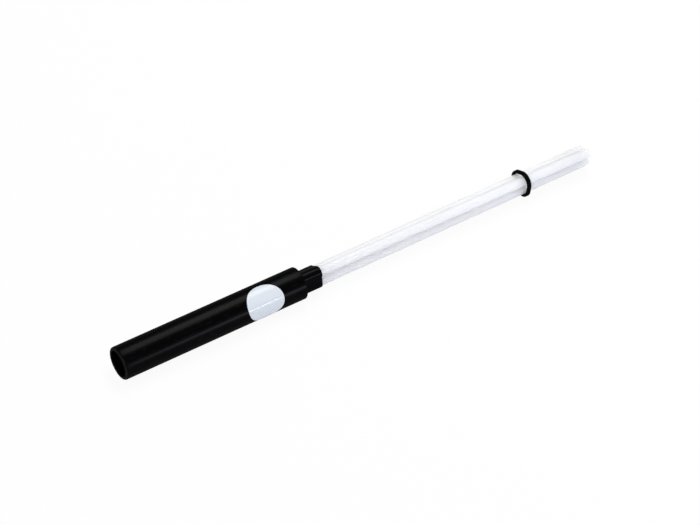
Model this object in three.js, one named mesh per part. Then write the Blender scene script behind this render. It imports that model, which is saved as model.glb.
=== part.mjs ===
// Three-rod samba stick, the beater of a small hand drum: a tube handle, three plastic rods bundled in
// a neck sleeve, and a rubber ring that slides along the rods and sets how far they spread.
// Millimetres. The stick lies along +X from the handle's rear rim to the tips of the rods, +Z up.
import * as THREE from "three";
import { mergeVertices } from "three/addons/utils/BufferGeometryUtils.js";

// Rods
const ROD_DIAMETER = 6;
const ROD_GAP = 1.1; // clear space between neighbouring rods
const ROD_SHOWN = 198.8; // from the sleeve's front end to the top rod's tip
const FRONT_ROD_EXTRA = 0.4; // the front and back rods are cut a little longer than the top one
const BACK_ROD_EXTRA = 0.7;
const ROD_TAIL = 3; // runs past the sleeve's rear end, inside the handle
const ROD_TIP_ROUNDING = 2;
const ROD_TAIL_ROUNDING = 0.5;

// Lay of the bundle: the angle of the top rod at the sleeve's front end, from +Y towards +Z, and the
// length of stick in which the slight twist of the bundle would make one whole turn
const LAY_ANGLE = THREE.MathUtils.degToRad(117.3);
const LAY_LENGTH = 5200;

// Neck sleeve, shrunk over the three rods, and the adhesive that fills the room between them
const SLEEVE_WALL = 0.5;
const SLEEVE_CLEARANCE = 0.2; // between the sleeve, the adhesive and the rods
const SLEEVE_LENGTH = 77.5;
const SLEEVE_SHOWN = 12.8; // in front of the handle
const SLEEVE_VALLEY_RADIUS = 22; // shallow hollow of the sleeve between two rods
const CORE_INSET = 2; // the adhesive stops this far inside each end of the sleeve

// Handle tube
const HANDLE_LENGTH = 120.7;
const HANDLE_WALL = 2;
const HANDLE_CLEARANCE = 0.2; // between the bore and the sleeve's lobes
const REAR_RIM_ROUNDING = 1.4;
const FRONT_RIM_ROUNDING = 0.6;
const BORE_EDGE_ROUNDING = 0.2;

// Sliding ring, stretched over the rods to a shape between a circle and a rounded triangle
const RING_THICKNESS = 1.65;
const RING_WIDTH = 2.75;
const RING_CLEARANCE = 0.25;
const RING_CORNER = 0.5;
const RING_ROUNDNESS = 0.42; // 0 lies flat from rod to rod, 1 is a full circle
const RING_TO_TIP = 49.6; // from the ring's middle to the top rod's tip

// Round foil label on the handle, bent round the tube
const LABEL_DIAMETER = 24;
const LABEL_THICKNESS = 0.15;
const LABEL_CLEARANCE = 0.15;
const LABEL_CENTRE = 92.9; // from the rear rim
const LABEL_ANGLE = THREE.MathUtils.degToRad(151.5); // from +Y towards +Z

// Fineness of the facets
const ROUND_SIDES = 36; // a multiple of 12, so that the handle lies on a flat and the ring has like thirds
const ROD_SIDES = 24;
const LABEL_SIDES = 32;
const LABEL_RINGS = 5;
const ARC_DIVISIONS = 2; // half the steps of each rounded edge
const LOBE_DIVISIONS = 5; // half the steps of each arc of the sleeve's section
const LAY_STEP = 20; // longest stretch that stays straight in the twisted bundle

// Sizes that follow from the ones above
const ROD_RADIUS = ROD_DIAMETER / 2;
const ROD_SPACING = ROD_DIAMETER + ROD_GAP;
const BUNDLE_RADIUS = ROD_SPACING / Math.sqrt(3); // from the stick's axis to a rod's axis
const SLEEVE_INNER_REACH = ROD_RADIUS + SLEEVE_CLEARANCE; // from a rod's axis
const SLEEVE_OUTER_REACH = SLEEVE_INNER_REACH + SLEEVE_WALL;
const BORE_RADIUS = BUNDLE_RADIUS + SLEEVE_OUTER_REACH + HANDLE_CLEARANCE;
const HANDLE_RADIUS = BORE_RADIUS + HANDLE_WALL;
const NECK_END = HANDLE_LENGTH + SLEEVE_SHOWN;
const SLEEVE_START = NECK_END - SLEEVE_LENGTH;
const ROD_START = SLEEVE_START - ROD_TAIL;
const TIP = NECK_END + ROD_SHOWN;
const LENGTH = TIP + Math.max(FRONT_ROD_EXTRA, BACK_ROD_EXTRA);
const RING_MIDDLE = TIP - RING_TO_TIP;
const RING_CORNER_REACH = BUNDLE_RADIUS * (1 - RING_ROUNDNESS); // to the centre of a corner of the ring
const RING_BEND = ROD_RADIUS + RING_CLEARANCE + BUNDLE_RADIUS * RING_ROUNDNESS; // inside of a corner
const AXIS_HEIGHT = HANDLE_RADIUS * Math.cos(Math.PI / ROUND_SIDES);

// The valley between two rods is an arc that touches both lobes. Its centre is the same for every
// layer of the section, so the sleeve keeps one wall all round.
const VALLEY_CENTRE_TO_ROD = SLEEVE_OUTER_REACH + SLEEVE_VALLEY_RADIUS;
const VALLEY_HALF_ANGLE = Math.asin(ROD_SPACING / 2 / VALLEY_CENTRE_TO_ROD);
const VALLEY_CENTRE_RADIUS = BUNDLE_RADIUS / 2 + VALLEY_CENTRE_TO_ROD * Math.cos(VALLEY_HALF_ANGLE);

const QUARTER = Math.PI / 2;
const THIRD = (2 * Math.PI) / 3;
const ROD_ANGLES = [LAY_ANGLE, LAY_ANGLE + THIRD, LAY_ANGLE - THIRD];
const LAY_PER_LENGTH = (2 * Math.PI) / LAY_LENGTH;

const STICK_AXIS = new THREE.Vector3(1, 0, 0);
const SIDE_AXIS = new THREE.Vector3(0, 1, 0);
const UP_AXIS = new THREE.Vector3(0, 0, 1);
const REVOLVE_TO_STICK = new THREE.Matrix4().makeBasis(UP_AXIS, STICK_AXIS, SIDE_AXIS);
const SECTION_TO_STICK = new THREE.Matrix4().makeBasis(SIDE_AXIS, UP_AXIS, STICK_AXIS);

// A point of the cross-section at this angle and distance from the stick's axis.
function polar(angle, radius) {
  return new THREE.Vector2(radius * Math.cos(angle), radius * Math.sin(angle));
}

// Welds the seam and the poles of a revolved surface, so that it stays closed when it is bent.
function welded(geometry) {
  geometry.deleteAttribute("normal");
  geometry.deleteAttribute("uv");
  return mergeVertices(geometry);
}

// A profile of radius against length, revolved about the stick's axis with a flat side below.
function revolved(profile, sides) {
  const surface = welded(new THREE.LatheGeometry(profile, sides, Math.PI / sides));
  surface.computeVertexNormals();
  return surface.applyMatrix4(REVOLVE_TO_STICK);
}

// Closed profile of a tube or ring whose four edges are rounded.
function ringProfile(inner, outer, rear, front, rounding) {
  const { rearOuter, frontOuter, innerEdge } = rounding;
  const profile = new THREE.Path();
  profile.absarc(outer - rearOuter, rear + rearOuter, rearOuter, -QUARTER, 0);
  profile.absarc(outer - frontOuter, front - frontOuter, frontOuter, 0, QUARTER);
  profile.absarc(inner + innerEdge, front - innerEdge, innerEdge, QUARTER, 2 * QUARTER);
  profile.absarc(inner + innerEdge, rear + innerEdge, innerEdge, 2 * QUARTER, 3 * QUARTER);
  profile.closePath();
  return profile.getPoints(ARC_DIVISIONS);
}

// Profile of a rod from the middle of its sawn tail to the middle of its rounded tip.
function rodProfile(tip) {
  const tailEdge = ROD_START + ROD_TAIL_ROUNDING;
  const tipEdge = tip - ROD_TIP_ROUNDING;
  const steps = Math.ceil((tipEdge - tailEdge) / LAY_STEP);
  const profile = new THREE.Path();
  profile.moveTo(0, ROD_START);
  profile.lineTo(ROD_RADIUS - ROD_TAIL_ROUNDING, ROD_START);
  profile.absarc(ROD_RADIUS - ROD_TAIL_ROUNDING, tailEdge, ROD_TAIL_ROUNDING, -QUARTER, 0);
  for (let step = 1; step < steps; step += 1) {
    profile.lineTo(ROD_RADIUS, THREE.MathUtils.lerp(tailEdge, tipEdge, step / steps));
  }
  profile.absarc(ROD_RADIUS - ROD_TIP_ROUNDING, tipEdge, ROD_TIP_ROUNDING, 0, QUARTER);
  profile.lineTo(0, tip);
  return profile.getPoints(ARC_DIVISIONS);
}

// Turns each cross-section about the stick's axis with its distance from the neck's end.
function laid(geometry) {
  const corners = geometry.getAttribute("position");
  const point = new THREE.Vector3();
  for (let i = 0; i < corners.count; i += 1) {
    point.fromBufferAttribute(corners, i);
    point.applyAxisAngle(STICK_AXIS, LAY_PER_LENGTH * (point.x - NECK_END));
    corners.setXYZ(i, point.x, point.y, point.z);
  }
  geometry.computeVertexNormals();
  return geometry;
}

// A section drawn round the stick's axis, run from start to end with the bundle's lay.
function laidPrism(section, start, end) {
  const geometry = new THREE.ExtrudeGeometry(section, {
    depth: end - start,
    steps: Math.ceil((end - start) / LAY_STEP),
    curveSegments: LOBE_DIVISIONS,
    bevelEnabled: false,
  });
  geometry.applyMatrix4(SECTION_TO_STICK).translate(start, 0, 0);
  return laid(geometry);
}

// Outline that wraps the three rods at this reach from their axes, with a shallow valley between lobes.
function lobedOutline(reach) {
  const outline = new THREE.Shape();
  const lobeHalf = THIRD / 2 + VALLEY_HALF_ANGLE;
  for (const angle of ROD_ANGLES.slice().sort((a, b) => a - b)) {
    const rod = polar(angle, BUNDLE_RADIUS);
    const between = angle + THIRD / 2;
    const valley = polar(between, VALLEY_CENTRE_RADIUS);
    const inward = between + Math.PI;
    outline.absarc(rod.x, rod.y, reach, angle - lobeHalf, angle + lobeHalf, false);
    outline.absarc(
      valley.x,
      valley.y,
      VALLEY_CENTRE_TO_ROD - reach,
      inward + VALLEY_HALF_ANGLE,
      inward - VALLEY_HALF_ANGLE,
      true,
    );
  }
  return outline;
}

// Star-shaped outline of the adhesive: it follows the rods inside and the sleeve's valleys outside. The
// arms end where the circle round a rod crosses the arc of the valley, found by the law of cosines.
function coreOutline() {
  const rodReach = ROD_RADIUS + SLEEVE_CLEARANCE;
  const armReach = VALLEY_CENTRE_TO_ROD - (SLEEVE_INNER_REACH - SLEEVE_CLEARANCE);
  const base = VALLEY_CENTRE_TO_ROD;
  const atRod = Math.acos((rodReach ** 2 + base ** 2 - armReach ** 2) / (2 * rodReach * base));
  const atValley = Math.acos((armReach ** 2 + base ** 2 - rodReach ** 2) / (2 * armReach * base));
  const rodHalf = THIRD / 2 + VALLEY_HALF_ANGLE + atRod;
  const armHalf = VALLEY_HALF_ANGLE - atValley;
  const outline = new THREE.Shape();
  for (const angle of ROD_ANGLES.slice().sort((a, b) => a - b)) {
    const rod = polar(angle, BUNDLE_RADIUS);
    const between = angle + THIRD / 2;
    const valley = polar(between, VALLEY_CENTRE_RADIUS);
    const inward = between + Math.PI;
    outline.absarc(rod.x, rod.y, rodReach, angle - rodHalf, angle + rodHalf - 2 * Math.PI, true);
    outline.absarc(valley.x, valley.y, armReach, inward + armHalf, inward - armHalf, true);
  }
  return outline;
}

function handleTube() {
  const profile = ringProfile(BORE_RADIUS, HANDLE_RADIUS, 0, HANDLE_LENGTH, {
    rearOuter: REAR_RIM_ROUNDING,
    frontOuter: FRONT_RIM_ROUNDING,
    innerEdge: BORE_EDGE_ROUNDING,
  });
  return revolved(profile, ROUND_SIDES);
}

function neckSleeve() {
  const section = lobedOutline(SLEEVE_OUTER_REACH);
  section.holes.push(lobedOutline(SLEEVE_INNER_REACH));
  return laidPrism(section, SLEEVE_START, NECK_END);
}

function hotMeltCore() {
  return laidPrism(coreOutline(), SLEEVE_START + CORE_INSET, NECK_END - CORE_INSET);
}

function rod(angle, tip) {
  const place = polar(angle, BUNDLE_RADIUS);
  return laid(revolved(rodProfile(tip), ROD_SIDES).translate(0, place.x, place.y));
}

// A round ring whose thirds are each drawn out towards a rod, and then turned to face the rods there.
function slideRing() {
  const outer = RING_BEND + RING_THICKNESS;
  const profile = ringProfile(RING_BEND, outer, -RING_WIDTH / 2, RING_WIDTH / 2, {
    rearOuter: RING_CORNER,
    frontOuter: RING_CORNER,
    innerEdge: RING_CORNER,
  });
  const ring = revolved(profile, ROUND_SIDES);
  const corners = ring.getAttribute("position");
  for (let i = 0; i < corners.count; i += 1) {
    const [y, z] = [corners.getY(i), corners.getZ(i)];
    const third = Math.round(Math.atan2(z, y) / THIRD) * THIRD;
    const drawn = polar(third, RING_CORNER_REACH);
    corners.setXYZ(i, corners.getX(i), y + drawn.x, z + drawn.y);
  }
  ring.computeVertexNormals();
  return ring.rotateX(LAY_ANGLE + LAY_PER_LENGTH * (RING_MIDDLE - NECK_END));
}

// A thin disc, drawn flat with rings of facets, whose width is then bent round the handle.
function labelDisc() {
  const radius = LABEL_DIAMETER / 2;
  const profile = new THREE.Path();
  profile.moveTo(0, 0);
  for (let ring = 1; ring <= LABEL_RINGS; ring += 1) {
    profile.lineTo((radius * ring) / LABEL_RINGS, 0);
  }
  for (let ring = LABEL_RINGS; ring >= 0; ring -= 1) {
    profile.lineTo((radius * ring) / LABEL_RINGS, LABEL_THICKNESS);
  }
  const disc = welded(new THREE.LatheGeometry(profile.getPoints(), LABEL_SIDES));
  const corners = disc.getAttribute("position");
  const seat = HANDLE_RADIUS + LABEL_CLEARANCE;
  for (let i = 0; i < corners.count; i += 1) {
    const around = polar(LABEL_ANGLE + corners.getZ(i) / seat, seat + corners.getY(i));
    corners.setXYZ(i, corners.getX(i), around.x, around.y);
  }
  disc.computeVertexNormals();
  return disc;
}

const blackTube = new THREE.MeshStandardMaterial({ color: 0x0c0c0e, roughness: 0.35 });
const blackSleeve = new THREE.MeshStandardMaterial({ color: 0x0a0a0b, roughness: 0.5 });
const blackRubber = new THREE.MeshStandardMaterial({ color: 0x101011, roughness: 0.75 });
const darkAdhesive = new THREE.MeshStandardMaterial({ color: 0x1b1a18, roughness: 0.6 });
const milkyNylon = new THREE.MeshStandardMaterial({ color: 0xeef1f2, roughness: 0.35 });
const silverFoil = new THREE.MeshStandardMaterial({ color: 0xd5dbe3, roughness: 0.3, metalness: 0.9 });

function piece(name, geometry, material, along = 0) {
  const mesh = new THREE.Mesh(geometry, material);
  mesh.name = name;
  mesh.position.x = along;
  return mesh;
}

const stick = new THREE.Group();
stick.add(
  piece("handle_tube", handleTube(), blackTube),
  piece("label_disc", labelDisc(), silverFoil, LABEL_CENTRE),
  piece("neck_sleeve", neckSleeve(), blackSleeve),
  piece("hot_melt_core", hotMeltCore(), darkAdhesive),
  piece("rod_top", rod(ROD_ANGLES[0], TIP), milkyNylon),
  piece("rod_front", rod(ROD_ANGLES[1], TIP + FRONT_ROD_EXTRA), milkyNylon),
  piece("rod_back", rod(ROD_ANGLES[2], TIP + BACK_ROD_EXTRA), milkyNylon),
  piece("slide_ring", slideRing(), blackRubber, RING_MIDDLE),
);
stick.position.set(-LENGTH / 2, 0, AXIS_HEIGHT);

export default stick;
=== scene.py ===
"""Finished surfaces, materials and studio of a three-rod samba stick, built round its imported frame.

The stick lies along +X from the handle's rear rim to the tips of the rods. Every length is in metres.
"""

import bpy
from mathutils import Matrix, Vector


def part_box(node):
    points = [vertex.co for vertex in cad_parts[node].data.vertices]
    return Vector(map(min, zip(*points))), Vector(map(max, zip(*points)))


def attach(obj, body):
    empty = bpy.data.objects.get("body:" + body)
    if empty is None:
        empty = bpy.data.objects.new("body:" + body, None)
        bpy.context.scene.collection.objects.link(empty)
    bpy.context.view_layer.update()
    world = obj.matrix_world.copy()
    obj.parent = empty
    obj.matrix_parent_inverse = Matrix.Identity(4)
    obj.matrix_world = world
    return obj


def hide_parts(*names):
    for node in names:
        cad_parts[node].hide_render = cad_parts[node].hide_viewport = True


bl_info = {
    "name": "Three-rod samba stick",
    "version": (1, 0, 0),
    "blender": (4, 5, 0),
    "location": "View3D > Sidebar > Samba stick",
    "description": "Builds the handle, rods, sleeve, sliding ring and label of a samba stick",
    "category": "Object",
}

import math

import bpy
import numpy as np
from bpy.props import FloatProperty, FloatVectorProperty, PointerProperty
from mathutils import Vector

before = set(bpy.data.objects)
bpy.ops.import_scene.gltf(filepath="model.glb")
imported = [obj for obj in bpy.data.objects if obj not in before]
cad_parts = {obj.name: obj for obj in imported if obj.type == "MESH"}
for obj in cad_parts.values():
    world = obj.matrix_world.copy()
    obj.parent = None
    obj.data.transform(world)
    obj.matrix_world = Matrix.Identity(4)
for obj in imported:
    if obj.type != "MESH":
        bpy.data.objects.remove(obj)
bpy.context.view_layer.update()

MM = 0.001
TURN = 2 * math.pi
QUARTER = TURN / 4
ROD_COUNT = 3
THIRD = TURN / ROD_COUNT
CAD_HANDLE_SIDES = 36

HANDLE_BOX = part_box("handle_tube")
SLEEVE_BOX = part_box("neck_sleeve")
CORE_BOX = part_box("hot_melt_core")
ROD_BOXES = {node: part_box(node) for node in ("rod_top", "rod_front", "rod_back")}
RING_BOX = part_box("slide_ring")
LABEL_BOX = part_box("label_disc")
AXIS_HEIGHT = (HANDLE_BOX[0].z + HANDLE_BOX[1].z) / 2
NECK_X = SLEEVE_BOX[1].x
ROD_TIP_X = ROD_BOXES["rod_top"][1].x

# Mesh steps: along a rounded edge, along a straight side, and round a piece
EDGE_STEPS = 10
HANDLE_SPANS, HANDLE_AROUND = 24, 160
SLEEVE_SPANS, LOBE_STEPS, VALLEY_STEPS = 30, 30, 14
CORE_SPANS, CORE_END_STEPS, CORE_ROD_STEPS, CORE_VALLEY_STEPS = 11, 4, 28, 10
ROD_SPANS, ROD_TAIL_STEPS, ROD_TIP_STEPS, ROD_AROUND = 120, 8, 16, 64
RING_SPANS, RING_CORNER_STEPS = 4, 32
LABEL_STEPS, LABEL_RIM_STEPS, LABEL_AROUND = 24, 6, 128
FLOOR_BEND_STEPS, FLOOR_AROUND = 12, 64

# Share of the label's radius where its fan of triangles round the pole ends
LABEL_POLE_SHARE = 0.02

# Gap between the handle and the floor, and radius of the flat polygon in the floor's middle
FLOOR_GAP = 0.02 * MM
FLOOR_MIDDLE = 0.01

# Studio lamps: name, place, the x that each faces, width and height, power in watts, tint
LAMPS = (
    ("top_softbox", (0.37, 0.29, 1.17), 0.37, (0.36, 0.76), 10.4, "#fdfeff"),
    ("top_softbox_far", (0.73, 0.29, 1.17), 0.73, (0.36, 0.76), 1.6, "#ffffff"),
    ("front_strip", (0.42, -1.178, 0.13), 0.42, (0.3, 0.01), 3.3, "#fff8f0"),
    ("front_glow", (0.5, -1.178, 0.1), 0.5, (0.44, 0.16), 3.6, "#a8c0ff"),
    ("side_fill", (-0.88, -0.9, 1.15), 0.0, (1.2, 0.6), 9.0, "#fffefa"),
)


def flat_to_round(box):
    """Radius of the circle through the corners of a faceted round, from half its width across flats."""
    return (box[1].y - box[0].y) / 2 / math.cos(math.pi / CAD_HANDLE_SIDES)


def linear(code):
    """Linear red, green and blue of an sRGB hex colour."""
    shares = [int(code[i : i + 2], 16) / 255 for i in (1, 3, 5)]
    return tuple(s / 12.92 if s <= 0.04045 else ((s + 0.055) / 1.055) ** 2.4 for s in shares)


def length(name, description, default):
    """A length property in metres."""
    return FloatProperty(name=name, description=description, default=default, unit="LENGTH", precision=5)


def angle(name, description, degrees):
    """An angle property, given in degrees."""
    return FloatProperty(
        name=name, description=description, default=math.radians(degrees), subtype="ANGLE"
    )


def colour(name, description, code):
    """A colour property, given as an sRGB hex value."""
    return FloatVectorProperty(
        name=name, description=description, default=linear(code), subtype="COLOR", size=3, min=0, max=1
    )


class HandleSettings(bpy.types.PropertyGroup):
    """Sizes and colours of the handle tube and the label on it."""

    radius: length("Radius", "Outside radius of the tube", flat_to_round(HANDLE_BOX))
    wall: length("Wall", "Wall of the tube", 2.0 * MM)
    rear_rounding: length("Rear rounding", "Rounding of the rear rim's outer edge", 1.4 * MM)
    front_rounding: length("Front rounding", "Rounding of the front rim's outer edge", 0.6 * MM)
    bore_rounding: length("Bore rounding", "Rounding of the edges of the bore", 0.2 * MM)
    pvc: colour("PVC", "Colour of the extruded tube", "#020202")
    # Colour of the scuffs, and of the paler line painted round the rear rim as a highlight on its
    # rounded edge
    scuff_and_highlight_pvc: colour("Rubbed PVC", "Colour of the tube where it is rubbed", "#1c1b1d")
    label_angle: angle("Label angle", "Middle of the label, from +Y towards +Z", 151.5)
    label_lift: length("Label lift", "Gap under the label", 0.02 * MM)
    label_film: length("Label film", "Thickness of the label", 0.12 * MM)
    silver: colour("Silver", "Colour of the label", "#cfd5da")
    dull_silver: colour("Dull silver", "Colour of the label in its grain", "#c7cdd2")


class BundleSettings(bpy.types.PropertyGroup):
    """Sizes and colours of the rods, the sleeve round them and the adhesive between them."""

    rod_radius: length("Rod radius", "Radius of one rod", 3.0 * MM)
    rod_gap: length("Rod gap", "Clear space between neighbouring rods", 1.1 * MM)
    tip_rounding: length("Tip rounding", "Rounding of the struck end", 2.0 * MM)
    tail_rounding: length("Tail rounding", "Rounding of the end inside the handle", 0.5 * MM)
    lay_angle: angle("Lay angle", "Angle of the top rod at the neck, from +Y towards +Z", 117.3)
    lay_length: length("Lay length", "Length in which the bundle would turn once", 5.2)
    sleeve_wall: length("Sleeve wall", "Wall of the sleeve", 0.5 * MM)
    sleeve_clearance: length("Sleeve clearance", "Gap between sleeve, rods and adhesive", 0.2 * MM)
    sleeve_edge: length("Sleeve edge", "Rounding of the sleeve's edges", 0.2 * MM)
    valley_radius: length("Valley radius", "Hollow of the sleeve between two rods", 22.0 * MM)
    meniscus: length("Meniscus", "Depth of the dish in the adhesive's ends", 0.35 * MM)
    nylon: colour("Nylon", "Colour of the rods", "#eaebed")
    nylon_cloud: colour("Nylon clouds", "Colour of the clouds in the rods", "#e7e8eb")
    # Painted shade: a greyer colour over the rods towards their tips, and the length over which it grows
    nylon_tip_shade: colour("Struck nylon", "Colour of the rods at their struck ends", "#d4d4d6")
    tip_shade_length: length("Struck length", "Length over which the rods grow dull", 45.0 * MM)
    shrink: colour("Sleeve black", "Colour of the sleeve", "#020203")
    shrink_worn: colour("Sleeve wear", "Colour of the sleeve on its wrinkles", "#060607")
    adhesive: colour("Adhesive", "Colour of the set adhesive", "#16130f")


class RingSettings(bpy.types.PropertyGroup):
    """Sizes and colour of the sliding ring."""

    thickness: length("Thickness", "Radial thickness of the ring", 1.65 * MM)
    clearance: length("Clearance", "Gap between the ring and the rods", 0.25 * MM)
    edge: length("Edge", "Rounding of the ring's edges", 0.5 * MM)
    roundness: FloatProperty(
        name="Roundness",
        description="0 lies flat from rod to rod, 1 is a full circle",
        default=0.42,
        min=0,
        max=1,
    )
    rubber: colour("Rubber", "Colour of the ring", "#020202")
    rubber_grain: colour("Rubber grain", "Colour of the ring's grain", "#070707")


class StageSettings(bpy.types.PropertyGroup):
    """Camera, floor and light of the studio."""

    azimuth: angle("Azimuth", "Camera's turn round the stick, 0 looks along +Y", -34.0)
    elevation: angle("Elevation", "Camera's height above the horizon", 41.81)
    distance: length("Distance", "From the camera to the point it looks at", 1.368)
    lens: FloatProperty(
        name="Lens", description="Focal length on a 36 mm wide frame", default=120.1, unit="CAMERA"
    )
    aim_x: length("Aim along", "Point looked at, along the stick", -11.31 * MM)
    aim_y: length("Aim across", "Point looked at, across the stick", -1.93 * MM)
    floor_size: length("Floor size", "Width of the floor", 20.0)
    wall_height: length("Wall height", "Height of the floor's upturned rim", 2.0)
    floor: colour("Floor", "Colour of the floor", "#e6e6e6")
    floor_glow: FloatProperty(
        name="Floor glow", description="Share of plain white in the floor, to the eye", default=0.93
    )
    sky: FloatProperty(name="Sky", description="Strength of the even light from all round", default=0.41)


# Surfaces


def add_surface(name, rings, poles=None, flat_start=False, flat_end=False):
    """Object whose mesh is stretched over a grid: rings[i, j] is step i along the piece and j round it.

    A ring joins the next by quads, and its last point joins its first. Two poles close the ends with
    fans, a flat start or end is closed with one polygon, and otherwise the last ring joins the first.
    """
    steps, around = rings.shape[:2]
    index = np.arange(steps * around).reshape(steps, around)
    points = rings.reshape(-1, 3)
    here, ahead = index, np.roll(index, -1, axis=1)
    open_ended = poles is not None or flat_start or flat_end
    last = steps - 1 if open_ended else steps
    nxt, nxt_ahead = np.roll(here, -1, axis=0), np.roll(ahead, -1, axis=0)
    quads = np.stack([here, ahead, nxt_ahead, nxt], axis=-1)[:last].reshape(-1, 4)
    faces = quads.tolist()
    if poles is not None:
        first_pole = np.full(around, len(points))
        faces += np.stack([first_pole, ahead[0], here[0]], axis=-1).tolist()
        faces += np.stack([first_pole + 1, here[-1], ahead[-1]], axis=-1).tolist()
        points = np.concatenate([points, poles])
    if flat_start:
        faces.append(here[0][::-1].tolist())
    if flat_end:
        faces.append(here[-1].tolist())
    mesh = bpy.data.meshes.new(name)
    mesh.from_pydata(points.tolist(), [], faces)
    mesh.polygons.foreach_set("use_smooth", np.ones(len(faces), dtype=bool))
    mesh.update()
    piece = bpy.data.objects.new(name, mesh)
    bpy.context.scene.collection.objects.link(piece)
    return piece


def arc(centre, radius, start, end, steps):
    """Points of a circle's arc from start to end: centre plus radius times cosine and sine."""
    sweep = np.linspace(start, end, steps + 1)
    return np.asarray(centre) + radius * np.stack([np.cos(sweep), np.sin(sweep)], axis=-1)


def stick_points(along, across):
    """Puts section points (y, z) about the stick's axis at each distance along it."""
    spot = np.broadcast_to(np.asarray(along)[..., None], across.shape[:-1] + (1,))
    return np.concatenate([spot, across], axis=-1) + np.array([0.0, 0.0, AXIS_HEIGHT])


def revolved(profile, around):
    """Turns a profile of (along, radius) about the stick's axis: y and z are the radius times the
    cosine and sine of the turn."""
    sweep = np.linspace(0, TURN, around, endpoint=False)
    circle = np.stack([np.cos(sweep), np.sin(sweep)], axis=-1)
    across = profile[:, 1, None, None] * circle
    return stick_points(np.repeat(profile[:, :1], around, axis=1), across)


def rounded_tube_profile(inner, outer, rear, front, rear_round, front_round, inner_round, spans):
    """Closed profile (along, radius): out along the outside, back along the bore, each edge an arc.

    spans is the number of steps along each straight side.
    """
    corner = [
        arc((rear + rear_round, outer - rear_round), rear_round, 2 * QUARTER, QUARTER, EDGE_STEPS),
        arc((front - front_round, outer - front_round), front_round, QUARTER, 0, EDGE_STEPS),
        arc((front - inner_round, inner + inner_round), inner_round, 0, -QUARTER, EDGE_STEPS),
        arc((rear + inner_round, inner + inner_round), inner_round, -QUARTER, -2 * QUARTER, EDGE_STEPS),
    ]
    share = np.linspace(0, 1, spans + 1)[1:-1, None]
    outside = corner[0][-1] + share * (corner[1][0] - corner[0][-1])
    bore = corner[2][-1] + share * (corner[3][0] - corner[2][-1])
    return np.concatenate([corner[0], outside, corner[1], corner[2], bore, corner[3]])


def bundle_radius(bundle):
    """Distance of a rod's axis from the stick's axis: the rods stand at the corners of a triangle."""
    return (2 * bundle.rod_radius + bundle.rod_gap) / math.sqrt(3)


def rod_angles(bundle):
    """Angles of the top, front and back rods at the neck."""
    return [bundle.lay_angle, bundle.lay_angle + THIRD, bundle.lay_angle - THIRD]


def laid(along, across, bundle):
    """Turns section points about the stick's axis in step with their distance from the neck."""
    turn = TURN * (np.asarray(along) - NECK_X) / bundle.lay_length
    c, s = np.cos(turn), np.sin(turn)
    y, z = across[..., 0], across[..., 1]
    return np.stack([y * c - z * s, y * s + z * c], axis=-1)


def valley(bundle):
    """Distance from a rod's axis to the centre of the valley arcs, and half the angle of those arcs."""
    reach = bundle.rod_radius + bundle.sleeve_clearance + bundle.sleeve_wall
    to_rod = reach + bundle.valley_radius
    half = math.asin((bundle.rod_radius + bundle.rod_gap / 2) / to_rod)
    return to_rod, half


def lobed_outline(bundle, reach):
    """Outline round the three rods: an arc of this reach about each rod, and between two rods a shallow
    arc about the valley's centre that touches both."""
    to_rod, half = valley(bundle)
    lobe = THIRD / 2 + half
    spacing = bundle_radius(bundle)
    centre = spacing / 2 + to_rod * math.cos(half)
    parts = []
    for at in sorted(rod_angles(bundle)):
        between = at + THIRD / 2
        rod = spacing * np.array([math.cos(at), math.sin(at)])
        hollow = centre * np.array([math.cos(between), math.sin(between)])
        inward = between + math.pi
        parts.append(arc(rod, reach, at - lobe, at + lobe, LOBE_STEPS)[:-1])
        parts.append(arc(hollow, to_rod - reach, inward + half, inward - half, VALLEY_STEPS)[:-1])
    return np.concatenate(parts)


def star_outline(bundle, shrink):
    """Outline of the adhesive: the near side of a circle round each rod, then the valley's arc, which
    the circle crosses where the law of cosines says. shrink draws the whole outline in."""
    to_rod, half = valley(bundle)
    rod_reach = bundle.rod_radius + bundle.sleeve_clearance + shrink
    arm = to_rod - bundle.rod_radius + shrink
    at_rod = math.acos((rod_reach**2 + to_rod**2 - arm**2) / (2 * rod_reach * to_rod))
    at_valley = math.acos((arm**2 + to_rod**2 - rod_reach**2) / (2 * arm * to_rod))
    spacing = bundle_radius(bundle)
    centre = spacing / 2 + to_rod * math.cos(half)
    wide = THIRD / 2 + half + at_rod
    parts = []
    for at in sorted(rod_angles(bundle)):
        between = at + THIRD / 2
        rod = spacing * np.array([math.cos(at), math.sin(at)])
        hollow = centre * np.array([math.cos(between), math.sin(between)])
        inward = between + math.pi
        open_half = half - at_valley
        parts.append(arc(rod, rod_reach, at - wide, at + wide - TURN, CORE_ROD_STEPS)[:-1])
        parts.append(arc(hollow, arm, inward + open_half, inward - open_half, CORE_VALLEY_STEPS)[:-1])
    return np.concatenate(parts)


def rod_rings(bundle, at, tail, tip):
    """Rings and poles of one rod: circles whose radius follows a profile with rounded ends, carried
    along the rod's place in the twisted bundle."""
    low, high, radius = bundle.tail_rounding, bundle.tip_rounding, bundle.rod_radius
    start = arc((tail + low, radius - low), low, 2 * QUARTER, QUARTER, ROD_TAIL_STEPS)
    end = arc((tip - high, radius - high), high, QUARTER, 0, ROD_TIP_STEPS)
    share = np.linspace(0, 1, ROD_SPANS + 1)[1:-1, None]
    shaft = start[-1] + share * (end[0] - start[-1])
    profile = np.concatenate([start, shaft, end])
    sweep = np.linspace(0, TURN, ROD_AROUND, endpoint=False)
    circle = np.stack([np.cos(sweep), np.sin(sweep)], axis=-1)
    centre = bundle_radius(bundle) * np.array([math.cos(at), math.sin(at)])
    along = np.repeat(profile[:, :1], len(sweep), axis=1)
    across = centre + profile[:, 1, None, None] * circle
    rings = stick_points(along, laid(along, across, bundle))
    ends = np.array([tail, tip])
    middle = np.stack([centre, centre])
    return rings, stick_points(ends, laid(ends, middle, bundle))


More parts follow.
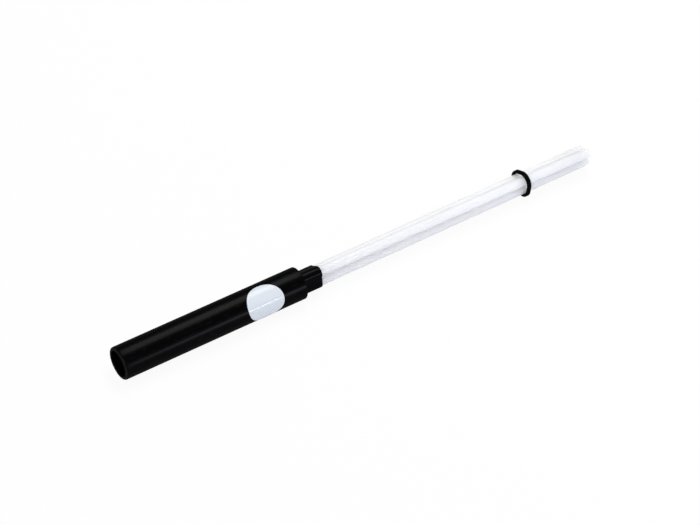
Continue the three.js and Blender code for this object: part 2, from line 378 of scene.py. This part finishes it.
def ring_rings(ring, bundle):
    """A rounded section carried round the rods: three arcs about the ring's corner centres, joined
    straight. The corner centres stand on the lines to the rods, and nearer the axis the rounder the
    ring is."""
    middle = (RING_BOX[0].x + RING_BOX[1].x) / 2
    lay = bundle.lay_angle + TURN * (middle - NECK_X) / bundle.lay_length
    reach = bundle_radius(bundle) * (1 - ring.roundness)
    bend = bundle.rod_radius + ring.clearance + bundle_radius(bundle) * ring.roundness
    profile = rounded_tube_profile(
        bend,
        bend + ring.thickness,
        RING_BOX[0].x,
        RING_BOX[1].x,
        ring.edge,
        ring.edge,
        ring.edge,
        RING_SPANS,
    )
    sweep = np.linspace(-THIRD / 2, THIRD / 2, RING_CORNER_STEPS + 1)
    centre = lay + THIRD * np.arange(ROD_COUNT)[:, None]
    facing = centre + sweep
    out = np.stack([np.cos(facing), np.sin(facing)], axis=-1)
    from_axis = reach * np.stack([np.cos(centre), np.sin(centre)], axis=-1)
    across = from_axis + profile[:, 1, None, None, None] * out
    across = across.reshape(len(profile), -1, 2)
    return stick_points(np.repeat(profile[:, :1], across.shape[1], axis=1), across)


def label_rings(handle):
    """A flat disc bent round the tube: each point's distance across the disc becomes an angle.

    The rings run from the middle of the lower face over the rim to the middle of the upper face.
    """
    radius = (LABEL_BOX[1].x - LABEL_BOX[0].x) / 2
    middle = (LABEL_BOX[1].x + LABEL_BOX[0].x) / 2
    seat = handle.radius + handle.label_lift
    film = handle.label_film
    reach = np.linspace(LABEL_POLE_SHARE, 1, LABEL_STEPS + 1) * radius
    rim = arc((radius - film / 2, film / 2), film / 2, -QUARTER, QUARTER, LABEL_RIM_STEPS)
    low = np.stack([reach[:-1], np.zeros(len(reach) - 1)], axis=-1)
    high = low[::-1] + np.array([0.0, film])
    profile = np.concatenate([low, rim, high])
    sweep = np.linspace(0, TURN, LABEL_AROUND, endpoint=False)
    along = middle + profile[:, 0, None] * np.sin(sweep)
    bend = handle.label_angle + profile[:, 0, None] * np.cos(sweep) / seat
    lift = (seat + profile[:, 1, None]) * np.ones_like(bend)
    rings = stick_points(along, np.stack([lift * np.cos(bend), lift * np.sin(bend)], axis=-1))
    pole_lift = seat + np.array([[0.0], [film]])
    facing = np.array([math.cos(handle.label_angle), math.sin(handle.label_angle)])
    return rings, stick_points(np.array([middle, middle]), pole_lift * facing)


# Materials


def put(tree, kind, sockets=None, **settings):
    """Adds a node with its settings, and sets or links its input sockets by name or number."""
    node = tree.nodes.new(kind)
    for key, value in settings.items():
        setattr(node, key, value)
    for key, value in (sockets or {}).items():
        if isinstance(value, bpy.types.NodeSocket):
            tree.links.new(value, node.inputs[key])
        else:
            node.inputs[key].default_value = value
    return node


def start_material(name):
    """An empty node material, its node tree and its Object coordinates."""
    material = bpy.data.materials.new(name)
    material.use_nodes = True
    tree = material.node_tree
    tree.nodes.clear()
    place = put(tree, "ShaderNodeTexCoord").outputs["Object"]
    return material, tree, place


def end_material(tree, shader):
    """Links a shader to the material's output."""
    put(tree, "ShaderNodeOutputMaterial", {"Surface": shader.outputs["BSDF"]})


def black_pvc(handle):
    """Extruded PVC tube: black and satin, with faint lines along it from the die and paler scuffs from
    handling. A paler line round the rear rim's rounded edge is a painted highlight."""
    material, tree, place = start_material("extruded_pvc")
    # Real die lines are about 0.2 mm wide. They are drawn wider, or the render would not show them.
    line_width, line_length = 1.2 * MM, 60 * MM
    scuff_width, scuff_length = 1.5 * MM, 5 * MM
    # Painted highlight: a paler line round the rear rim's rounded edge, standing in for its reflection
    highlight_line_middle = HANDLE_BOX[0].x + 0.3 * handle.rear_rounding
    highlight_line_reach = 0.36 * handle.rear_rounding
    stretch = put(
        tree, "ShaderNodeMapping", {"Vector": place, "Scale": (line_width / line_length, 1, 1)}
    )
    lines = put(
        tree,
        "ShaderNodeTexNoise",
        {"Vector": stretch.outputs["Vector"], "Scale": 1 / line_width, "Detail": 3.0},
    )
    turned = put(
        tree, "ShaderNodeMapping", {"Vector": place, "Scale": (scuff_width / scuff_length, 1, 1)}
    )
    scuffs = put(
        tree,
        "ShaderNodeTexNoise",
        {"Vector": turned.outputs["Vector"], "Scale": 1 / scuff_width, "Detail": 4.0},
    )
    scuffed = put(
        tree,
        "ShaderNodeMapRange",
        {"Value": scuffs.outputs["Fac"], "From Min": 0.55, "From Max": 0.75, "To Max": 0.25},
    )
    along = put(tree, "ShaderNodeSeparateXYZ", {"Vector": place}).outputs["X"]
    from_highlight_line = put(tree, "ShaderNodeMath", {0: along, 1: highlight_line_middle}, operation="SUBTRACT")
    distance = put(tree, "ShaderNodeMath", {0: from_highlight_line.outputs["Value"]}, operation="ABSOLUTE")
    highlight_line = put(
        tree,
        "ShaderNodeMapRange",
        {"Value": distance.outputs["Value"], "From Min": highlight_line_reach, "From Max": 0.0},
        interpolation_type="SMOOTHSTEP",
    )
    # The scuffs and the painted highlight line both take the paler colour
    tone_and_painted_light = put(
        tree,
        "ShaderNodeMath",
        {0: scuffed.outputs["Result"], 1: highlight_line.outputs["Result"]},
        operation="MAXIMUM",
    )
    tint = put(
        tree,
        "ShaderNodeMix",
        {"Factor": tone_and_painted_light.outputs["Value"], "A": (*handle.pvc, 1), "B": (*handle.scuff_and_highlight_pvc, 1)},
        data_type="RGBA",
    )
    bump = put(
        tree,
        "ShaderNodeBump",
        {"Height": lines.outputs["Fac"], "Strength": 0.15, "Distance": 0.02 * MM},
    )
    shader = put(
        tree,
        "ShaderNodeBsdfPrincipled",
        {
            "Base Color": tint.outputs["Result"],
            "Roughness": 0.3,
            "Specular IOR Level": 0.0,
            "Coat Weight": 0.062,
            "Coat Roughness": 0.3,
            "Coat IOR": 1.5,
            "Coat Normal": bump.outputs["Normal"],
            "Normal": bump.outputs["Normal"],
        },
    )
    end_material(tree, shader)
    return material


def silver_film(handle):
    """Label film printed with silver ink: its flakes scatter light all ways, so it is a pale satin grey
    with a fine grain along it, and the clear film over it gives a soft gloss."""
    material, tree, place = start_material("silver_printed_film")
    # Real ink flakes are about 0.02 mm. Their grain is drawn coarser, so that a close view shows it.
    grain_width, grain_length = 0.5 * MM, 14 * MM
    stretch = put(
        tree, "ShaderNodeMapping", {"Vector": place, "Scale": (grain_width / grain_length, 1, 1)}
    )
    grain = put(
        tree,
        "ShaderNodeTexNoise",
        {"Vector": stretch.outputs["Vector"], "Scale": 1 / grain_width, "Detail": 2.0},
    )
    tint = put(
        tree,
        "ShaderNodeMix",
        {"Factor": grain.outputs["Fac"], "A": (*handle.silver, 1), "B": (*handle.dull_silver, 1)},
        data_type="RGBA",
    )
    shader = put(
        tree,
        "ShaderNodeBsdfPrincipled",
        {
            "Base Color": tint.outputs["Result"],
            "Roughness": 0.34,
            "Specular IOR Level": 0.0,
            "Coat Weight": 0.23,
            "Coat Roughness": 0.08,
            "Coat IOR": 1.5,
        },
    )
    end_material(tree, shader)
    return material


def milky_nylon(bundle):
    """Drawn nylon rod: milky and translucent, with soft clouds inside and faint lines along it. A greyer
    white painted towards the tips is shade."""
    material, tree, place = start_material("drawn_milky_nylon")
    # Real draw lines are about 0.1 mm wide. They are drawn wider, or the render would not show them.
    line_width, line_length = 0.8 * MM, 50 * MM
    cloud_size = 7 * MM
    # Nylon scatters within a few millimetres. Cycles shortens the path in a near-white material, so a
    # longer one is set, which evens out each rod's tone and lights the crevices.
    scatter_length = 36.0 * MM
    stretch = put(
        tree, "ShaderNodeMapping", {"Vector": place, "Scale": (line_width / line_length, 1, 1)}
    )
    lines = put(
        tree,
        "ShaderNodeTexNoise",
        {"Vector": stretch.outputs["Vector"], "Scale": 1 / line_width, "Detail": 2.0},
    )
    clouds = put(tree, "ShaderNodeTexNoise", {"Vector": place, "Scale": 1 / cloud_size, "Detail": 3.0})
    tint = put(
        tree,
        "ShaderNodeMix",
        {"Factor": clouds.outputs["Fac"], "A": (*bundle.nylon, 1), "B": (*bundle.nylon_cloud, 1)},
        data_type="RGBA",
    )
    # Painted shade: the rods turn greyer over the last stretch towards their tips
    along = put(tree, "ShaderNodeSeparateXYZ", {"Vector": place}).outputs["X"]
    toward_tip = put(
        tree,
        "ShaderNodeMapRange",
        {"Value": along, "From Min": ROD_TIP_X - bundle.tip_shade_length, "From Max": ROD_TIP_X},
    )
    tone_and_painted_light = put(
        tree,
        "ShaderNodeMix",
        {
            "Factor": toward_tip.outputs["Result"],
            "A": tint.outputs["Result"],
            "B": (*bundle.nylon_tip_shade, 1),
        },
        data_type="RGBA",
    )
    gloss = put(
        tree,
        "ShaderNodeMapRange",
        {"Value": lines.outputs["Fac"], "From Min": 0.3, "From Max": 0.7, "To Min": 0.4, "To Max": 0.44},
    )
    shader = put(
        tree,
        "ShaderNodeBsdfPrincipled",
        {
            "Base Color": tone_and_painted_light.outputs["Result"],
            "Roughness": gloss.outputs["Result"],
            "IOR": 1.53,
            "Specular IOR Level": 0.25,
            "Subsurface Weight": 1.0,
            "Subsurface Radius": (1.0, 1.0, 1.0),
            "Subsurface Scale": scatter_length,
        },
    )
    end_material(tree, shader)
    return material


def shrunk_sleeve(bundle):
    """Heat-shrunk polyolefin: black and satin, drawn tight over the rods with faint cross wrinkles."""
    material, tree, place = start_material("shrunk_polyolefin")
    wrinkle_width, wrinkle_share = 1.1 * MM, 0.35
    stretch = put(
        tree, "ShaderNodeMapping", {"Vector": place, "Scale": (1, wrinkle_share, wrinkle_share)}
    )
    wrinkles = put(
        tree,
        "ShaderNodeTexNoise",
        {"Vector": stretch.outputs["Vector"], "Scale": 1 / wrinkle_width, "Detail": 2.0},
    )
    tint = put(
        tree,
        "ShaderNodeMix",
        {"Factor": wrinkles.outputs["Fac"], "A": (*bundle.shrink, 1), "B": (*bundle.shrink_worn, 1)},
        data_type="RGBA",
    )
    bump = put(
        tree,
        "ShaderNodeBump",
        {"Height": wrinkles.outputs["Fac"], "Strength": 0.25, "Distance": 0.04 * MM},
    )
    shader = put(
        tree,
        "ShaderNodeBsdfPrincipled",
        {
            "Base Color": tint.outputs["Result"],
            "Roughness": 0.31,
            "Specular IOR Level": 0.0,
            "Coat Weight": 0.052,
            "Coat Roughness": 0.24,
            "Coat IOR": 1.5,
            "Coat Normal": bump.outputs["Normal"],
            "Normal": bump.outputs["Normal"],
        },
    )
    end_material(tree, shader)
    return material


def set_adhesive(bundle):
    """Set hot-melt adhesive: dark, slightly glossy, with a lumpy skin."""
    material, tree, place = start_material("set_hot_melt")
    lump_size = 1.6 * MM
    lumps = put(tree, "ShaderNodeTexNoise", {"Vector": place, "Scale": 1 / lump_size, "Detail": 2.0})
    gloss = put(
        tree,
        "ShaderNodeMapRange",
        {"Value": lumps.outputs["Fac"], "From Min": 0.3, "From Max": 0.7, "To Min": 0.3, "To Max": 0.45},
    )
    bump = put(
        tree,
        "ShaderNodeBump",
        {"Height": lumps.outputs["Fac"], "Strength": 0.5, "Distance": 0.15 * MM},
    )
    shader = put(
        tree,
        "ShaderNodeBsdfPrincipled",
        {
            "Base Color": (*bundle.adhesive, 1),
            "Roughness": gloss.outputs["Result"],
            "Specular IOR Level": 0.3,
            "Normal": bump.outputs["Normal"],
        },
    )
    end_material(tree, shader)
    return material


def moulded_rubber(ring):
    """Moulded rubber: black and dull, with a fine grain."""
    material, tree, place = start_material("moulded_rubber")
    # Real mould grain is about 0.05 mm. It is drawn coarser, or the render would not show it.
    grain_size = 0.5 * MM
    grain = put(tree, "ShaderNodeTexNoise", {"Vector": place, "Scale": 1 / grain_size, "Detail": 2.0})
    tint = put(
        tree,
        "ShaderNodeMix",
        {"Factor": grain.outputs["Fac"], "A": (*ring.rubber, 1), "B": (*ring.rubber_grain, 1)},
        data_type="RGBA",
    )
    bump = put(
        tree,
        "ShaderNodeBump",
        {"Height": grain.outputs["Fac"], "Strength": 0.2, "Distance": 0.03 * MM},
    )
    shader = put(
        tree,
        "ShaderNodeBsdfPrincipled",
        {
            "Base Color": tint.outputs["Result"],
            "Roughness": 0.48,
            "Specular IOR Level": 0.0,
            "Coat Weight": 0.03,
            "Coat Roughness": 0.4,
            "Coat IOR": 1.5,
            "Coat Normal": bump.outputs["Normal"],
            "Normal": bump.outputs["Normal"],
        },
    )
    end_material(tree, shader)
    return material


def finish_piece(piece, material, body, node):
    """Gives a piece its material and its body, and hides the node that it stands for."""
    piece.data.materials.append(material)
    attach(piece, body)
    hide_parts(node)


# Operators


class STICK_OT_handle(bpy.types.Operator):
    """Builds the handle tube and its bare label"""

    bl_idname = "stick.handle"
    bl_label = "Handle and label"

    def execute(self, context):
        handle = context.scene.stick_handle
        profile = rounded_tube_profile(
            handle.radius - handle.wall,
            handle.radius,
            HANDLE_BOX[0].x,
            HANDLE_BOX[1].x,
            handle.rear_rounding,
            handle.front_rounding,
            handle.bore_rounding,
            HANDLE_SPANS,
        )
        tube = add_surface("handle_tube_skin", revolved(profile, HANDLE_AROUND))
        finish_piece(tube, black_pvc(handle), "stick", "handle_tube")
        rings, poles = label_rings(handle)
        label = add_surface("label_disc_skin", rings, poles)
        finish_piece(label, silver_film(handle), "stick", "label_disc")
        return {"FINISHED"}


class STICK_OT_rods(bpy.types.Operator):
    """Builds the three rods"""

    bl_idname = "stick.rods"
    bl_label = "Rods"

    def execute(self, context):
        bundle = context.scene.stick_bundle
        material = milky_nylon(bundle)
        for (node, box), at in zip(ROD_BOXES.items(), rod_angles(bundle)):
            rings, poles = rod_rings(bundle, at, box[0].x, box[1].x)
            rod = add_surface(node + "_skin", rings, poles)
            finish_piece(rod, material, "stick", node)
        return {"FINISHED"}


class STICK_OT_sleeve(bpy.types.Operator):
    """Builds the neck sleeve and the adhesive inside it"""

    bl_idname = "stick.sleeve"
    bl_label = "Sleeve and adhesive"

    def execute(self, context):
        bundle = context.scene.stick_bundle
        inner = bundle.rod_radius + bundle.sleeve_clearance
        outer = inner + bundle.sleeve_wall
        edge = bundle.sleeve_edge
        profile = rounded_tube_profile(
            inner, outer, SLEEVE_BOX[0].x, SLEEVE_BOX[1].x, edge, edge, edge, SLEEVE_SPANS
        )
        across = np.stack([lobed_outline(bundle, reach) for reach in profile[:, 1]])
        along = np.repeat(profile[:, :1], across.shape[1], axis=1)
        sleeve = add_surface("neck_sleeve_skin", stick_points(along, laid(along, across, bundle)))
        finish_piece(sleeve, shrunk_sleeve(bundle), "stick", "neck_sleeve")

        slope = np.linspace(0, QUARTER, CORE_END_STEPS + 1)
        dish = bundle.meniscus * np.stack([1 - np.sin(slope), np.cos(slope)], axis=-1)
        rear = np.array([CORE_BOX[0].x, 0.0]) + dish
        front = np.array([CORE_BOX[1].x, 0.0]) + dish[::-1] * np.array([-1.0, 1.0])
        shaft = np.linspace(rear[-1], front[0], CORE_SPANS + 1)[1:-1]
        core_profile = np.concatenate([rear, shaft, front])
        across = np.stack([star_outline(bundle, shrink) for shrink in core_profile[:, 1]])
        along = np.repeat(core_profile[:, :1], across.shape[1], axis=1)
        core = add_surface(
            "hot_melt_core_skin",
            stick_points(along, laid(along, across, bundle)),
            flat_start=True,
            flat_end=True,
        )
        finish_piece(core, set_adhesive(bundle), "stick", "hot_melt_core")
        return {"FINISHED"}


class STICK_OT_ring(bpy.types.Operator):
    """Builds the rubber ring that slides along the rods"""

    bl_idname = "stick.ring"
    bl_label = "Sliding ring"

    def execute(self, context):
        ring = context.scene.stick_ring
        bundle = context.scene.stick_bundle
        piece = add_surface("slide_ring_skin", ring_rings(ring, bundle))
        finish_piece(piece, moulded_rubber(ring), "ring", "slide_ring")
        return {"FINISHED"}


def white_to_the_eye(tree):
    """1 for camera, glossy and transmission rays, which see the white background, and 0 for the rest."""
    path = put(tree, "ShaderNodeLightPath").outputs
    glossy = put(
        tree, "ShaderNodeMath", {0: path["Is Camera Ray"], 1: path["Is Glossy Ray"]}, operation="MAXIMUM"
    )
    return put(
        tree,
        "ShaderNodeMath",
        {0: glossy.outputs["Value"], 1: path["Is Transmission Ray"]},
        operation="MAXIMUM",
    ).outputs["Value"]


class STICK_OT_stage(bpy.types.Operator):
    """Builds the floor, the lights and the camera"""

    bl_idname = "stick.stage"
    bl_label = "Studio"

    def execute(self, context):
        stage = context.scene.stick_stage
        self.make_floor(stage, context.scene.stick_handle)
        self.make_world(context, stage)
        self.make_lamps(context)
        self.make_camera(context, stage)
        context.scene.view_settings.view_transform = "Standard"
        return {"FINISHED"}

    def make_floor(self, stage, handle):
        """A round floor whose rim turns up into a low wall, so that the horizon is as pale as the floor:
        a profile of two flat steps and an arc, turned about the upright axis."""
        low = AXIS_HEIGHT - handle.radius - FLOOR_GAP
        half = stage.floor_size / 2
        bend = arc((half, stage.wall_height), stage.wall_height, -QUARTER, 0, FLOOR_BEND_STEPS)
        profile = np.concatenate([[[FLOOR_MIDDLE, 0.0], [half / 4, 0.0]], bend])
        sweep = np.linspace(0, TURN, FLOOR_AROUND, endpoint=False)
        circle = np.stack([np.cos(sweep), np.sin(sweep)], axis=-1)
        flat = profile[:, 0, None, None] * circle
        height = np.broadcast_to(profile[:, 1, None, None] + low, flat.shape[:-1] + (1,))
        rings = np.concatenate([flat, height], axis=-1)
        floor = add_surface("floor", rings, flat_start=True)
        material, tree, _ = start_material("painted_floor")
        diffuse = put(tree, "ShaderNodeBsdfDiffuse", {"Color": (*stage.floor, 1)})
        glow = put(tree, "ShaderNodeEmission", {"Strength": 1.0})
        seen = put(
            tree,
            "ShaderNodeMath",
            {0: white_to_the_eye(tree), 1: stage.floor_glow},
            operation="MULTIPLY",
        )
        share = put(
            tree,
            "ShaderNodeMixShader",
            {0: seen.outputs["Value"], 1: diffuse.outputs[0], 2: glow.outputs[0]},
        )
        put(tree, "ShaderNodeOutputMaterial", {"Surface": share.outputs[0]})
        floor.data.materials.append(material)

    def make_world(self, context, stage):
        """An even white sky. It has no bright spots to find, so the lamps alone are sampled."""
        world = bpy.data.worlds.new("studio")
        context.scene.world = world
        world.use_nodes = True
        world.cycles.sampling_method = "NONE"
        tree = world.node_tree
        tree.nodes.clear()
        sky = put(tree, "ShaderNodeBackground", {"Color": (1, 1, 1, 1), "Strength": stage.sky})
        put(tree, "ShaderNodeOutputWorld", {"Surface": sky.outputs[0]})

    def make_lamps(self, context):
        """The softboxes and strips that draw the highlights, each facing the stick's axis."""
        for name, place, facing_x, size, power, tint in LAMPS:
            light = bpy.data.lights.new(name, "AREA")
            light.shape = "RECTANGLE"
            light.size, light.size_y = size
            light.energy = power
            light.color = linear(tint)
            lamp = bpy.data.objects.new(name, light)
            context.scene.collection.objects.link(lamp)
            lamp.location = place
            aim = Vector((facing_x, 0.0, AXIS_HEIGHT)) - Vector(place)
            lamp.rotation_mode = "QUATERNION"
            lamp.rotation_quaternion = aim.to_track_quat("-Z", "Y")
            lamp.visible_camera = False

    def make_camera(self, context, stage):
        """A long lens that looks at the stick from its azimuth and elevation."""
        data = bpy.data.cameras.new("camera")
        data.sensor_width = 36.0
        data.lens = stage.lens
        data.clip_start, data.clip_end = 0.01, 200.0
        camera = bpy.data.objects.new("camera", data)
        context.scene.collection.objects.link(camera)
        level, rise = math.cos(stage.elevation), math.sin(stage.elevation)
        back = Vector((math.sin(stage.azimuth) * level, -math.cos(stage.azimuth) * level, rise))
        camera.location = Vector((stage.aim_x, stage.aim_y, AXIS_HEIGHT)) + back * stage.distance
        camera.rotation_mode = "QUATERNION"
        camera.rotation_quaternion = (-back).to_track_quat("-Z", "Y")
        context.scene.camera = camera


class STICK_PT_panel(bpy.types.Panel):
    """Lists the pieces of the stick with their sizes and colours"""

    bl_idname = "STICK_PT_panel"
    bl_label = "Samba stick"
    bl_space_type = "VIEW_3D"
    bl_region_type = "UI"
    bl_category = "Samba stick"

    def draw(self, context):
        for operator in OPERATORS:
            self.layout.operator(operator.bl_idname)
        for holder in SETTINGS:
            group = getattr(context.scene, holder)
            column = self.layout.column()
            for name in group.__annotations__:
                column.prop(group, name)


SETTINGS = {
    "stick_handle": HandleSettings,
    "stick_bundle": BundleSettings,
    "stick_ring": RingSettings,
    "stick_stage": StageSettings,
}
OPERATORS = (STICK_OT_handle, STICK_OT_rods, STICK_OT_sleeve, STICK_OT_ring, STICK_OT_stage)


def register():
    """Adds the settings to the scene, and the operators and the panel to Blender."""
    for group in SETTINGS.values():
        bpy.utils.register_class(group)
    for holder, group in SETTINGS.items():
        setattr(bpy.types.Scene, holder, PointerProperty(type=group))
    for cls in (*OPERATORS, STICK_PT_panel):
        bpy.utils.register_class(cls)


def unregister():
    """Takes back what register added."""
    for cls in (STICK_PT_panel, *reversed(OPERATORS)):
        bpy.utils.unregister_class(cls)
    for holder, group in SETTINGS.items():
        delattr(bpy.types.Scene, holder)
        bpy.utils.unregister_class(group)


def main():
    """Builds every piece and the studio."""
    register()
    bpy.ops.stick.handle()
    bpy.ops.stick.rods()
    bpy.ops.stick.sleeve()
    bpy.ops.stick.ring()
    bpy.ops.stick.stage()


if __name__ == "__main__":
    main()
